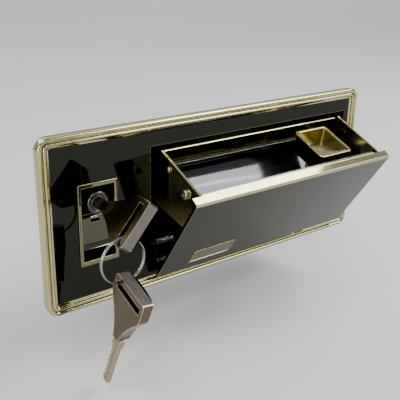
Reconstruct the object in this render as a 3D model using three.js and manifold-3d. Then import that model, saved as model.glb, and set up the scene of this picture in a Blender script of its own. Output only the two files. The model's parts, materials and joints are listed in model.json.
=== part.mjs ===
// Lockable tilt-out hopper plate for a door panel.
// Frame: millimetres, +Z up, +X to the right along the plate, +Y into the door.
// The origin is the centre of the plate's outline, on the plane of the door's face.
import * as THREE from 'three';
import { mergeVertices } from 'three/addons/utils/BufferGeometryUtils.js';
import Module from 'manifold-3d';

const wasm = await Module();
wasm.setup();

// ---------------------------------------------------------------- driving dimensions
const PLATE = { halfWidth: 117.5, halfHeight: 50, cornerRadius: 7, minimumRadius: 0.6, face: -3 };
const OPENING = { left: -50.8, right: 106.8, bottom: -35, top: 35.25, notchWidth: 30.3, notchBottom: -38.5 };
const MIDDLE_X = (OPENING.left + OPENING.right) / 2;
const GASKET = { inset: 1.1, width: 1.4, depth: 1, clearance: 0.05 };
const POCKET = { left: -94.5, right: -74.8, bottom: -22.5, top: 19.5, wall: 1, floor: 7 };
const BEZEL = { left: -96.5, right: -72.5, bottom: -25.1, top: 21.9, front: -4, back: -3.1 };
const CASE = {
  left: -53.2, right: 109.2, bottom: -47.1, top: 37.2, topBack: 34,
  front: 0.3, back: 46, sheet: 1, lip: 8, lipBack: 48.3,
};

const PIVOT = { y: 9.2, z: -42.4, pinRadius: 1.5, boreRadius: 1.75, bossRadius: 3.3 };
const OPEN_ANGLE = THREE.MathUtils.degToRad(33.6);
const FLAP = {
  left: -50.1, right: 106.1, bottom: -34.35, top: 34.35, front: -5.2, skinBack: -3.2,
  bandBack: 0.3,
};
const BADGE = { left: -31, right: 1, bottom: -27.8, top: -15.2, corner: 1.2, recess: 0.5, gap: 0.3 };
const CHEEK = { outer: -44.6, inner: -43.2 };
const TRAY = {
  left: -42.9, right: 96.1, front: 0.6, back: 39.6, rimFront: 33.6, rimBack: 27.2, floor: 1,
  crease: 14.1,
};
const SHEET = 1;
const LINER = { sheet: 0.9, gap: 0.3 };
const CUP = {
  x: 67, y: 20.1, z: 30.8, width: 28, length: 27.2, depth: 13,
  wall: 0.9, rim: 1, draft: 2.5, tilt: -0.187,
  notchFrom: -11, notchTo: 0.5, notchDepth: 1.2,
};
const REST = {
  back: 8.6, low: -11, knee: -8.5, kneeHeight: -4.8, front: -10.8, top: -1.9, sheet: 1,
  ribs: 7, ribWidth: 1.3, ribRise: 0.8,
};
const ARM = { left: -25, right: -23 };
const LUG_OUTER = { left: -45.2, right: -43.7 };
const LUG_INNER = { left: -22.7, right: -21.2 };

const LOCK = {
  x: -84.8, z: 10.2, nose: -4.4, noseRadius: 6.4, barrelRadius: 5.6, plugRadius: 4.15,
  back: 24,
};
const KEY_ANGLE = THREE.MathUtils.degToRad(40);
const KEY = {
  headLength: 34.1, halfWidth: 13.5, flatFace: -3, edgeFace: 2.6, crown: 4.6,
  slotOffset: 5.3, slotHalf: 11.3, slotWidth: 3.6,
  collarLength: 6, collarHalfWidth: 3.3, collarHalfThickness: 1.5,
  bladeLength: 27.6, bladeHalfWidth: 2.8, bladeHalfThickness: 0.9,
};
const KEY_END = -45;
const RING = { x: -91.6, z: -7.5, radius: 12.3, wireRadius: 0.46, layer: 0.48, ramp: 0.5 };
const RING_Y = KEY_END + KEY.slotOffset;
const HANG = { wireAlongWidth: 9.85, wireAlongLength: 4.95 };
const CAM = { front: 24.4, back: 26.4, pinReach: 7.4, pinRadius: 1.4, pinEnd: 29.4 };
const BOLT = { y: 5, z: -27, radius: 1.3, tip: -25.4, flange: -30.6, carrierFront: 27, carrierBack: 28.6 };
const PADDLE = { left: -93.3, right: -76, hingeY: 1.6, hingeZ: 0.6, barrelRadius: 1.6, bottom: -16.8 };
const STUDS = {
  upper_left: [-108, 38], lower_left: [-108, -38], upper_right: [112.6, 38],
  lower_right: [112.6, -38],
};
const STUD = { radius: 1.5, weldRadius: 2.2, end: 20, nutFront: 3.2, nutBack: 5.6, nutRadius: 3.18 };
const CHEEK_SCREW = {
  y: 9.6, z: 24.8, headRadius: 2.9, headHeight: 1.7, shankRadius: 1.3, crossHalf: 1.8,
  crossWidth: 0.6,
};
const REAR_SCREW = { y: 28.1, z: 24, headRadius: 1.7, headHeight: 0.9, shankRadius: 0.8 };

// ---------------------------------------------------------------- materials
function finish(color, roughness, metalness) {
  return new THREE.MeshStandardMaterial({ color, roughness, metalness });
}
const GOLD = () => finish(0xb9a56a, 0.12, 1);
const BRASS = () => finish(0xc9a23f, 0.25, 1);
const STEEL = () => finish(0x9a9a98, 0.4, 1);
const DARK_STEEL = () => finish(0x4a4a4c, 0.5, 0.9);
const BLACK_NICKEL = () => finish(0x1c1c20, 0.15, 1);
const KEY_BRONZE = () => finish(0x6d5f50, 0.4, 0.9);
const NICKEL = () => finish(0xb4aa8c, 0.3, 1);
const FOAM = () => finish(0x202020, 0.95, 0);

// ---------------------------------------------------------------- geometry helpers
const AXIS_X = new THREE.Vector3(1, 0, 0);
const AXIS_Y = new THREE.Vector3(0, 1, 0);
const AXIS_Z = new THREE.Vector3(0, 0, 1);
const vectors = (points) => points.map(([a, b]) => new THREE.Vector2(a, b));
const mirrorX = (x) => 2 * MIDDLE_X - x;

function extrude(outline, depth, holes = []) {
  const shape = new THREE.Shape(vectors(outline));
  shape.holes = holes.map((hole) => new THREE.Path(vectors(hole)));
  return new THREE.ExtrudeGeometry(shape, { depth, bevelEnabled: false });
}

// Outline in (y, z), extruded along X.
function prismX(outline, from, to, holes = []) {
  const basis = new THREE.Matrix4().makeBasis(AXIS_Y, AXIS_Z, AXIS_X);
  return extrude(outline, to - from, holes).applyMatrix4(basis).translate(from, 0, 0);
}

// Outline in (x, z), extruded along Y.
function prismY(outline, from, to, holes = []) {
  const basis = new THREE.Matrix4().makeBasis(AXIS_X, AXIS_Z, AXIS_Y.clone().negate());
  return extrude(outline, to - from, holes).applyMatrix4(basis).translate(0, to, 0);
}

// Outline in (x, y), extruded along Z.
function prismZ(outline, from, to, holes = []) {
  return extrude(outline, to - from, holes).translate(0, 0, from);
}

function block(x0, x1, y0, y1, z0, z1) {
  const box = new THREE.BoxGeometry(x1 - x0, y1 - y0, z1 - z0);
  return box.translate((x0 + x1) / 2, (y0 + y1) / 2, (z0 + z1) / 2);
}

function rectangle(a0, a1, b0, b1) {
  return [[a0, b0], [a1, b0], [a1, b1], [a0, b1]];
}

function arc(a, b, radius, startDegrees, endDegrees, steps) {
  return Array.from({ length: steps + 1 }, (_, i) => {
    const angle = THREE.MathUtils.degToRad(startDegrees + ((endDegrees - startDegrees) * i) / steps);
    return [a + radius * Math.cos(angle), b + radius * Math.sin(angle)];
  });
}

const circle = (a, b, radius, steps = 20) => arc(a, b, radius, 0, 360 - 360 / steps, steps - 1);

function roundedRectangle(a0, a1, b0, b1, radius, steps = 4) {
  return [
    ...arc(a1 - radius, b1 - radius, radius, 0, 90, steps),
    ...arc(a0 + radius, b1 - radius, radius, 90, 180, steps),
    ...arc(a0 + radius, b0 + radius, radius, 180, 270, steps),
    ...arc(a1 - radius, b0 + radius, radius, 270, 360, steps),
  ];
}

const rodX = (y, z, radius, from, to, steps = 20) => prismX(circle(y, z, radius, steps), from, to);
const rodY = (x, z, radius, from, to, steps = 20) => prismY(circle(x, z, radius, steps), from, to);

// Turned shape about Y through (x, z); the profile is [radius, y] from the low end to the high end.
function turnedY(x, z, profile, steps = 28) {
  return new THREE.LatheGeometry(vectors(profile), steps).translate(x, 0, z);
}

function toSolid(geometry) {
  const bare = geometry.clone();
  bare.deleteAttribute('normal');
  bare.deleteAttribute('uv');
  const merged = mergeVertices(bare, 1e-4);
  const vertProperties = new Float32Array(merged.attributes.position.array);
  const triVerts = new Uint32Array(merged.index.array);
  return new wasm.Manifold(new wasm.Mesh({ numProp: 3, vertProperties, triVerts }));
}

function toGeometry(solid) {
  const mesh = solid.getMesh();
  const geometry = new THREE.BufferGeometry();
  geometry.setAttribute('position', new THREE.BufferAttribute(new Float32Array(mesh.vertProperties), 3));
  geometry.setIndex(new THREE.BufferAttribute(new Uint32Array(mesh.triVerts), 1));
  return geometry;
}

const join = (...parts) => toGeometry(parts.map(toSolid).reduce((sum, part) => sum.add(part)));
function cut(base, ...tools) {
  return toGeometry(tools.map(toSolid).reduce((rest, tool) => rest.subtract(tool), toSolid(base)));
}
const common = (a, b) => toGeometry(toSolid(a).intersect(toSolid(b)));

// Wire of round section along a curve.
function wire(pointAt, radius, steps, sides = 8) {
  const path = new THREE.Curve();
  path.getPoint = (t) => pointAt(t);
  const section = new THREE.Shape(vectors(circle(0, 0, radius, sides)));
  return new THREE.ExtrudeGeometry(section, { steps, bevelEnabled: false, extrudePath: path });
}

// Coil about an axis parallel to X through (y, z).
function coilX(y, z, radius, wireRadius, from, to, turns) {
  const pointAt = (t) => {
    const angle = 2 * Math.PI * turns * t;
    const x = from + (to - from) * t;
    return new THREE.Vector3(x, y + radius * Math.cos(angle), z + radius * Math.sin(angle));
  };
  return wire(pointAt, wireRadius, turns * 14, 6);
}

// ---------------------------------------------------------------- face plate
function mouldingProfile() {
  return [
    [0, 0], [0, 3.3],
    ...arc(1.4, 3.55, 1.35, 175, 15, 7),
    [2.8, 3.5], [3.05, 3.5],
    ...arc(4.05, 3.7, 0.98, 170, 10, 6),
    [5.15, 3.55], [5.45, 3.28], [5.9, 3.08], [6.45, 3],
  ];
}

// A slab whose front edge is moulded; each profile point [inset, height] becomes one rounded loop.
function mouldedSlab(profile) {
  const loops = profile.map(([inset, height]) => {
    const radius = Math.max(PLATE.cornerRadius - inset, PLATE.minimumRadius);
    const a = PLATE.halfWidth - inset;
    const b = PLATE.halfHeight - inset;
    return roundedRectangle(-a, a, -b, b, radius, 6).map(([x, z]) => new THREE.Vector3(x, -height, z));
  });
  const count = loops[0].length;
  const positions = loops.flat().flatMap((p) => [p.x, p.y, p.z]);
  const index = [];
  for (let ring = 0; ring < loops.length - 1; ring += 1) {
    for (let i = 0; i < count; i += 1) {
      const a = ring * count + i;
      const b = ring * count + ((i + 1) % count);
      index.push(a, b, a + count, b, b + count, a + count);
    }
  }
  const last = (loops.length - 1) * count;
  for (let i = 1; i < count - 1; i += 1) {
    index.push(0, i + 1, i);
    index.push(last, last + i, last + i + 1);
  }
  const geometry = new THREE.BufferGeometry();
  geometry.setAttribute('position', new THREE.Float32BufferAttribute(positions, 3));
  geometry.setIndex(index);
  return geometry;
}

function plateRing(inset, width) {
  const outer = { a: PLATE.halfWidth - inset, b: PLATE.halfHeight - inset, r: PLATE.cornerRadius - inset };
  const inner = { a: outer.a - width, b: outer.b - width, r: outer.r - width };
  return {
    outline: roundedRectangle(-outer.a, outer.a, -outer.b, outer.b, outer.r),
    hole: roundedRectangle(-inner.a, inner.a, -inner.b, inner.b, inner.r),
  };
}

function openingOutline() {
  const { left, right, bottom, top, notchWidth, notchBottom } = OPENING;
  return [
    [left, notchBottom], [left + notchWidth, notchBottom], [left + notchWidth, bottom],
    [right - notchWidth, bottom], [right - notchWidth, notchBottom], [right, notchBottom],
    [right, top], [left, top],
  ];
}

function facePlate() {
  const cupHole = 0.15 + POCKET.wall;
  const groove = plateRing(GASKET.inset - GASKET.clearance, GASKET.width + 2 * GASKET.clearance);
  const through = 10;
  return cut(
    mouldedSlab(mouldingProfile()),
    prismY(openingOutline(), -through, through),
    block(
      POCKET.left - cupHole, POCKET.right + cupHole, -through, through,
      POCKET.bottom - cupHole, POCKET.top + cupHole,
    ),
    prismY(groove.outline, -GASKET.depth, through, [groove.hole]),
  );
}

function doorGasket() {
  const ring = plateRing(GASKET.inset, GASKET.width);
  return prismY(ring.outline, -GASKET.depth + GASKET.clearance, 0, [ring.hole]);
}

function stud(x, z) {
  const { radius, weldRadius, end } = STUD;
  return turnedY(x, z, [
    [0, 0.1], [weldRadius, 0.1], [weldRadius, 0.7], [radius, 1],
    [radius, end - 1], [radius - 0.4, end], [0, end],
  ], 16);
}

function studNut(x, z) {
  const { radius, nutFront, nutBack, nutRadius } = STUD;
  return prismY(circle(x, z, nutRadius, 6), nutFront, nutBack, [circle(x, z, radius + 0.15, 16)]);
}

// ---------------------------------------------------------------- finger pocket, lock and paddle
function pocketBezel() {
  return prismY(
    roundedRectangle(BEZEL.left, BEZEL.right, BEZEL.bottom, BEZEL.top, 0.8, 2),
    BEZEL.front, BEZEL.back,
    [rectangle(POCKET.left, POCKET.right, POCKET.bottom, POCKET.top)],
  );
}

function pocketCup() {
  const { left, right, bottom, top, wall, floor } = POCKET;
  const mouth = BEZEL.back + 0.05;
  const ledge = block(left - 0.2, right + 0.2, 0.6, floor + 0.2, 2.7, 3.3);
  const shell = cut(
    block(left - wall, right + wall, mouth, floor + wall, bottom - wall, top + wall),
    block(left, right, mouth - 1, floor, bottom, top),
    rodY(LOCK.x, LOCK.z, LOCK.barrelRadius + 0.15, floor - 1, floor + wall + 1, 28),
    rodX(PADDLE.hingeY, PADDLE.hingeZ, 0.95, left - wall - 1, right + wall + 1, 12),
  );
  return cut(join(shell, ledge), rodY(LOCK.x, LOCK.z, LOCK.noseRadius + 0.3, -2, floor, 28));
}

function paddlePlate() {
  const { left, right, hingeY, hingeZ, barrelRadius, bottom } = PADDLE;
  const blade = prismX([
    [0.1, hingeZ - 0.6], [0.1, -13.2], [-0.5, -15.2], [-1.5, bottom], [-0.1, bottom - 0.1],
    [1.1, -15.4], [1.7, -13.2], [1.7, hingeZ - 0.6],
  ], left, right);
  const barrel = rodX(hingeY, hingeZ, barrelRadius, left, right, 18);
  const springGap = block(-87.6, -82, -2, 6, hingeZ - 2.4, 4);
  return cut(join(blade, barrel), rodX(hingeY, hingeZ, 0.95, left - 1, right + 1, 12), springGap);
}

const paddlePin = () => rodX(PADDLE.hingeY, PADDLE.hingeZ, 0.8, POCKET.left - 1, POCKET.right + 1, 12);
const paddleSpring = () => coilX(PADDLE.hingeY, PADDLE.hingeZ, 1.2, 0.22, -87.3, -82.3, 7);

function cylinderBody() {
  const bore = LOCK.plugRadius + 0.15;
  const nose = LOCK.noseRadius;
  const seat = POCKET.floor - 0.1;
  return turnedY(LOCK.x, LOCK.z, [
    [bore, LOCK.nose], [nose - 0.8, LOCK.nose], [nose, LOCK.nose + 0.8], [nose, seat],
    [LOCK.barrelRadius, seat], [LOCK.barrelRadius, LOCK.back], [bore, LOCK.back], [bore, LOCK.nose],
  ]);
}

function cylinderNut() {
  const front = POCKET.floor + POCKET.wall + 0.1;
  const bore = circle(LOCK.x, LOCK.z, LOCK.barrelRadius + 0.15, 24);
  return prismY(circle(LOCK.x, LOCK.z, 8.6, 6), front, front + 3, [bore]);
}

// The pieces that turn with the key are drawn about the lock's axis with the key upright.
function lockPlug() {
  const keyway = block(-1.25, 1.25, LOCK.nose - 1, 22.9, -3.1, 3.1);
  return cut(turnedY(0, 0, [
    [0, LOCK.nose + 0.1], [LOCK.plugRadius, LOCK.nose + 0.1], [LOCK.plugRadius, LOCK.back + 0.2],
    [2.6, LOCK.back + 0.2], [2.6, CAM.back - 0.2], [0, CAM.back - 0.2],
  ]), keyway, rodY(0, 0, 1.15, CAM.front, CAM.back + 1, 12));
}

function camDirection(reach) {
  const lean = THREE.MathUtils.degToRad(45);
  return [reach * Math.sin(lean), -reach * Math.cos(lean)];
}

function lockCam() {
  const [pinX, pinZ] = camDirection(CAM.pinReach);
  const [sideX, sideZ] = [-pinZ / CAM.pinReach, pinX / CAM.pinReach];
  const half = 3.2;
  const arm = [
    [sideX * half, sideZ * half], [-sideX * half, -sideZ * half],
    [pinX - sideX * half, pinZ - sideZ * half], [pinX + sideX * half, pinZ + sideZ * half],
  ];
  return cut(
    join(
      rodY(0, 0, 5, CAM.front, CAM.back, 24),
      prismY(arm, CAM.front, CAM.back),
      rodY(pinX, pinZ, half, CAM.front, CAM.back, 20),
      rodY(pinX, pinZ, CAM.pinRadius, CAM.back - 0.5, CAM.pinEnd, 16),
    ),
    rodY(0, 0, 2.75, CAM.front - 1, CAM.back + 1, 20),
  );
}

function camScrew() {
  return turnedY(0, 0, [
    [0, CAM.front + 0.3], [1, CAM.front + 0.3], [1, CAM.back + 0.1], [4, CAM.back + 0.1],
    [4, CAM.back + 0.4], [0, CAM.back + 0.4],
  ], 20);
}

// ------------------------------------------------------ keys, drawn along +Y from the bow's outer end
function keyHeadOutline() {
  const { halfWidth, headLength } = KEY;
  const side = [
    [halfWidth - 1.2, 0], [halfWidth - 0.3, 0.4], [halfWidth, 1.4],
    [halfWidth, 10.5], [halfWidth - 0.8, 12.6],
    [halfWidth - 2.6, 15], [8.6, 18.4], [6.2, 22.6], [4.4, 27], [3.1, 31], [2.7, headLength],
  ];
  return [...side, ...side.map(([w, s]) => [-w, s]).reverse()];
}

// Outline in (z, y) extruded along X is a prism along X with y and z exchanged.
function keyPrism(outline, from, to) {
  return prismX(outline.map(([w, s]) => [s, w]), from, to);
}

function keyHead() {
  const { halfWidth, flatFace, edgeFace, crown, headLength } = KEY;
  const arch = Array.from({ length: 9 }, (_, i) => {
    const w = halfWidth + 1 - (i * 2 * (halfWidth + 1)) / 8;
    const rise = 1 - (w / (halfWidth + 1)) ** 2;
    return [edgeFace + (crown - edgeFace) * rise, w];
  });
  const section = [[flatFace, -halfWidth - 1], ...arch.reverse(), [flatFace, halfWidth + 1]];
  const body = common(
    keyPrism(keyHeadOutline(), flatFace - 1, crown + 1),
    extrude(section, headLength + 2).applyMatrix4(
      new THREE.Matrix4().makeBasis(AXIS_X, AXIS_Z, AXIS_Y.clone().negate()),
    ).translate(0, headLength + 1, 0),
  );
  const slot = roundedRectangle(
    -KEY.slotHalf, KEY.slotHalf,
    KEY.slotOffset - KEY.slotWidth / 2, KEY.slotOffset + KEY.slotWidth / 2, 1.2, 3,
  );
  const socket = block(-1.1, 1.1, headLength - 7, headLength + 1, -2.1, 2.1);
  return cut(body, keyPrism(slot, flatFace - 2, crown + 2), socket);
}

function keyBlade() {
  const { headLength, collarLength, collarHalfWidth, collarHalfThickness } = KEY;
  const { bladeLength, bladeHalfWidth, bladeHalfThickness } = KEY;
  const collarStart = headLength + 0.15;
  const bladeStart = headLength + collarLength;
  const tip = bladeStart + bladeLength;
  const cuts = [[4.5, 1], [8, 1.7], [11.5, 0.7], [15, 1.4], [18.5, 0.9], [22, 1.6]];
  const bitting = cuts.flatMap(([s, depth]) => [
    [bladeStart + s - 1.4, bladeHalfWidth], [bladeStart + s - 0.4, bladeHalfWidth - depth],
    [bladeStart + s + 0.4, bladeHalfWidth - depth], [bladeStart + s + 1.4, bladeHalfWidth],
  ]);
  const outline = [
    [bladeStart - 1, -bladeHalfWidth], [tip - 1.6, -bladeHalfWidth], [tip, -0.6], [tip, 0.4],
    [tip - 1.8, bladeHalfWidth], ...bitting.reverse(), [bladeStart - 1, bladeHalfWidth],
  ];
  const groove = block(bladeHalfThickness - 0.45, 2, bladeStart, tip + 1, -1.1, 0.1);
  const collar = prismX(
    roundedRectangle(collarStart, bladeStart, -collarHalfWidth, collarHalfWidth, 0.7, 2),
    -collarHalfThickness, collarHalfThickness,
  );
  return cut(join(
    block(-0.8, 0.8, headLength - 6.6, collarStart + 1, -1.8, 1.8),
    collar,
    prismX(outline, -bladeHalfThickness, bladeHalfThickness),
  ), groove);
}

function splitRing() {
  const total = 4 * Math.PI - RING.ramp;
  const start = Math.PI / 4;
  const pointAt = (t) => {
    const turned = total * t;
    const climb = THREE.MathUtils.clamp((turned - 2 * Math.PI + RING.ramp) / RING.ramp, 0, 1);
    const y = RING.layer * (2 * climb - 1);
    const angle = start + turned;
    return new THREE.Vector3(RING.radius * Math.cos(angle), y, RING.radius * Math.sin(angle));
  };
  return wire(pointAt, RING.wireRadius, 80, 6);
}

// ---------------------------------------------------------------- bolt that locks the hopper
function boltCarrier() {
  const { carrierFront, carrierBack, y, z } = BOLT;
  const slotX = LOCK.x + camDirection(CAM.pinReach)[0] - 4.6;
  const plate = cut(
    prismY(
      [[-94, -1.5], [-72, -1.5], [-72, z - 2], [-66, z - 2], [-66, 8.5], [-94, 8.5]],
      carrierFront, carrierBack,
    ),
    prismY(roundedRectangle(slotX - 2.1, slotX + 2.1, 0.3, 7, 2, 4), carrierFront - 1, carrierBack + 1),
  );
  const foot = block(-72, -66, y - 2, carrierBack, z - 2, z + 2);
  return join(plate, foot);
}

function boltRod() {
  const { y, z, radius, tip, flange } = BOLT;
  return join(
    rodX(y, z, radius, -65.9, tip - 0.6, 16),
    rodX(y, z, radius - 0.3, tip - 1, tip, 16),
    rodX(y, z, 2.6, flange, flange + 0.7, 20),
  );
}

function boltGuide() {
  return cut(
    block(-58.8, -55.2, 0.15, 9, BOLT.z - 4, BOLT.z + 4),
    rodX(BOLT.y, BOLT.z, BOLT.radius + 0.3, -60, -54, 16),
  );
}

const boltSpring = () => coilX(BOLT.y, BOLT.z, 2.05, 0.36, -43.2, BOLT.flange - 0.5, 8);

// ---------------------------------------------------------------- case behind the plate
// The top falls towards the back, so the plate hides the whole case from the front.
function caseTop() {
  const { left, right, front, lipBack, top, topBack, sheet, lip } = CASE;
  const lipFront = lipBack - sheet;
  return prismX([
    [front, top - sheet], [lipFront, topBack - sheet], [lipFront, topBack - lip], [lipBack, topBack - lip],
    [lipBack, topBack], [front, top],
  ], left, right);
}

function caseBottom() {
  const { left, right, front, lipBack, bottom, sheet, lip } = CASE;
  const lipFront = lipBack - sheet;
  return prismX([
    [front, bottom], [lipBack, bottom], [lipBack, bottom + lip], [lipFront, bottom + lip],
    [lipFront, bottom + sheet], [front, bottom + sheet],
  ], left, right);
}

function caseBack() {
  const { left, right, back, topBack, bottom, sheet } = CASE;
  const gap = 0.15;
  return block(left, right, back + gap, back + gap + sheet, bottom + sheet + gap, topBack - sheet - gap);
}

function caseEnd(x0) {
  const { front, back, top, topBack, bottom, sheet } = CASE;
  const gap = 0.1;
  const low = bottom + sheet + gap;
  return prismX([
    [front, low], [back, low], [back, topBack - sheet - gap], [front, top - sheet - gap],
  ], x0, x0 + sheet);
}

function caseEndLeft() {
  return cut(caseEnd(CASE.left), rodX(BOLT.y, BOLT.z, BOLT.radius + 0.3, CASE.left - 1, CASE.left + 2, 16));
}

// Support for the hinge pin: two lugs and a web that stands on the bottom of the case.
// Only the left outer lug reaches up to carry the bolt.
function hingeBracket(withBoltEye) {
  const base = CASE.bottom + CASE.sheet + 0.1;
  const { y, z, bossRadius } = PIVOT;
  const low = [
    [14, base], [26, base], [26, base + 5], [14, z + 3],
    ...arc(y, z, bossRadius, 60, 180, 6), [y - bossRadius, base],
  ];
  const tall = [
    [26, base], [26, base + 6], [14, z + 9], [9.2, BOLT.z + 1],
    ...arc(BOLT.y, BOLT.z, 3.2, 20, 180, 6), [2.2, z], [y - bossRadius, base],
  ];
  const outer = prismX(withBoltEye ? tall : low, LUG_OUTER.left, LUG_OUTER.right);
  const inner = prismX(low, LUG_INNER.left, LUG_INNER.right);
  const web = block(LUG_OUTER.left + 0.5, LUG_INNER.right - 0.5, 24.5, 26, base, base + 5);
  return cut(
    join(outer, inner, web),
    rodX(y, z, PIVOT.pinRadius + 0.1, -60, -10, 20),
    rodX(BOLT.y, BOLT.z, BOLT.radius + 0.3, -60, -40, 16),
  );
}

function pivotPin() {
  const { y, z, pinRadius } = PIVOT;
  return join(
    rodX(y, z, pinRadius, LUG_OUTER.left - 0.2, LUG_INNER.right + 1.8, 18),
    rodX(y, z, 2.6, LUG_OUTER.left - 1.4, LUG_OUTER.left - 0.15, 18),
  );
}

function pivotClip() {
  const from = LUG_INNER.right + 0.2;
  const ring = circle(PIVOT.y, PIVOT.z, PIVOT.pinRadius + 0.08, 16);
  return prismX(circle(PIVOT.y, PIVOT.z, 3, 20), from, from + 0.8, [ring]);
}

function pivotBush() {
  const ring = circle(PIVOT.y, PIVOT.z, PIVOT.pinRadius + 0.15, 16);
  return prismX(circle(PIVOT.y, PIVOT.z, 3, 24), LUG_OUTER.right + 0.3, -38.6, [ring]);
}

const tiltSpring = () => coilX(PIVOT.y, PIVOT.z, 2.4, 0.5, -38, ARM.left - 0.9, 8);

function mirrored(geometry) {
  const flipped = geometry.index ? geometry.toNonIndexed() : geometry.clone();
  flipped.scale(-1, 1, 1).translate(2 * MIDDLE_X, 0, 0);
  const points = flipped.attributes.position;
  for (let i = 0; i < points.count; i += 3) {
    const [x, y, z] = [points.getX(i), points.getY(i), points.getZ(i)];
    points.setXYZ(i, points.getX(i + 1), points.getY(i + 1), points.getZ(i + 1));
    points.setXYZ(i + 1, x, y, z);
  }
  flipped.deleteAttribute('normal');
  flipped.deleteAttribute('uv');
  return mergeVertices(flipped, 1e-4);
}

// ---------------------------------------------------------------- hopper, drawn closed
function flap() {
  const { left, right, bottom, top, front, skinBack, bandBack } = FLAP;
  const profile = [
    [front, bottom + 0.9], [front, top - 1.1], [front + 1, top], [bandBack, top], [bandBack, top - 3.4],
    [skinBack, top - 5], [skinBack, bottom], [front + 0.9, bottom],
  ];
  const recess = prismY(
    roundedRectangle(BADGE.left, BADGE.right, BADGE.bottom, BADGE.top, BADGE.corner, 3),
    front - 1, front + BADGE.recess,
  );
  return cut(prismX(profile, left, right), recess);
}

function badge() {
  const { left, right, bottom, top, corner, recess, gap } = BADGE;
  const outline = (inset) => roundedRectangle(
    left + inset, right - inset, bottom + inset, top - inset, corner - gap, 3,
  );
  const back = FLAP.front + recess - gap;
  const front = FLAP.front - 0.25;
  return cut(prismY(outline(gap), front, back), prismY(outline(gap + 1), front - 1, front + 0.2));
}

function screwHole({ y, z, shankRadius }) {
  return rodX(y, z, shankRadius + 0.3, CHEEK.outer - 1, CHEEK.inner + 1, 14);
}

function cheek() {
  const side = [
    [TRAY.front, 34], [TRAY.back, TRAY.rimBack], [40.2, -8],
    [29.5, -4.6], [1.1, 6.3], [-2.9, 7.8], [-2.9, 28],
    [TRAY.front, 29.5],
  ];
  const flange = block(CHEEK.inner - 0.5, CHEEK.inner + 7, -2.9, -1.7, 8, 27);
  return cut(
    join(prismX(side, CHEEK.outer, CHEEK.inner), flange),
    screwHole(CHEEK_SCREW),
    screwHole(REAR_SCREW),
  );
}

function cheekScrew({ y, z, headRadius, headHeight, shankRadius }) {
  const seat = CHEEK.outer - 0.3;
  const head = rodX(y, z, headRadius, seat - headHeight, seat, 20);
  return join(head, rodX(y, z, shankRadius, seat - 0.1, CHEEK.inner - 0.1, 14));
}

function cheekScrewFront() {
  const { y, z, crossHalf, crossWidth } = CHEEK_SCREW;
  const half = crossWidth / 2;
  const [from, to] = [CHEEK.outer - 3.3, CHEEK.outer - 1.2];
  return cut(
    cheekScrew(CHEEK_SCREW),
    block(from, to, y - half, y + half, z - crossHalf, z + crossHalf),
    block(from, to, y - crossHalf, y + crossHalf, z - half, z + half),
  );
}

// Points along the inside of the tray from its rear crease to its front wall.
function trayCurve(back, front, floor, high) {
  const middle = 17;
  const rear = Array.from({ length: 7 }, (_, i) => {
    const angle = (Math.PI / 2) * (i / 6);
    return [middle + (back - middle) * Math.cos(angle), high - (high - floor) * Math.sin(angle)];
  });
  const fore = Array.from({ length: 5 }, (_, i) => {
    const angle = (Math.PI / 2) * ((i + 1) / 5);
    return [middle + (front - middle) * Math.sin(angle), floor + (high - 2 - floor) * (1 - Math.cos(angle))];
  });
  return [...rear, ...fore];
}

function offsetSheet(curveInner, curveOuter, from, to) {
  return prismX([...curveInner, ...curveOuter.reverse()], from, to);
}

function trayShell() {
  const { left, right, front, back, rimFront, rimBack, floor, crease } = TRAY;
  const outer = [[back, rimBack], ...trayCurve(back, front, floor, crease), [front, rimFront]];
  const inner = [
    [back - SHEET, rimBack],
    ...trayCurve(back - SHEET, front + SHEET, floor + SHEET, crease),
    [front + SHEET, rimFront],
  ];
  return offsetSheet(inner, outer, left, right);
}

function trayLiner() {
  const { left, right, front, back, rimFront, floor, crease } = TRAY;
  const near = SHEET + LINER.gap;
  const far = near + LINER.sheet;
  const bend = trayCurve(back - near, front + near, floor + near, crease);
  const outer = [...bend, [front + near, rimFront - 0.4]];
  const inner = [...trayCurve(back - far, front + far, floor + far, crease), [front + far, rimFront - 0.4]];
  return offsetSheet(inner, outer, left + LINER.gap, right - LINER.gap);
}

// The cup is drawn about the centre of its rim, with its rim at z = 0. Only its front and back walls lean in.
function taperedTub(halfWidth, halfLength, depth, draft, radius) {
  const rim = roundedRectangle(-halfWidth, halfWidth, -halfLength, halfLength, radius, 4);
  const foot = roundedRectangle(-halfWidth, halfWidth, -halfLength + draft, halfLength - draft, radius, 4);
  const count = rim.length;
  const positions = [...foot.flatMap(([x, y]) => [x, y, -depth]), ...rim.flatMap(([x, y]) => [x, y, 0])];
  const index = [];
  for (let i = 0; i < count; i += 1) {
    const next = (i + 1) % count;
    index.push(i, next, count + i, next, count + next, count + i);
    if (i > 0 && i < count - 1) {
      index.push(0, i + 1, i);
      index.push(count, count + i, count + i + 1);
    }
  }
  const geometry = new THREE.BufferGeometry();
  geometry.setAttribute('position', new THREE.Float32BufferAttribute(positions, 3));
  geometry.setIndex(index);
  return geometry;
}

function cupTub() {
  const { width, length, depth, wall, rim, draft, notchFrom, notchTo, notchDepth } = CUP;
  const halfWidth = width / 2;
  const halfLength = length / 2;
  const body = taperedTub(halfWidth - rim, halfLength - rim, depth, draft, 1.5);
  const flange = prismZ(roundedRectangle(-halfWidth, halfWidth, -halfLength, halfLength, 1.6, 4), -0.9, 0);
  const hollow = taperedTub(halfWidth - rim - wall, halfLength - rim - wall, depth - wall, draft, 1);
  const notch = block(-halfWidth - 1, -halfWidth + 3, notchFrom, notchTo, -notchDepth, 1);
  return cut(join(body, flange), hollow.translate(0, 0, 0.01), notch);
}

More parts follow.
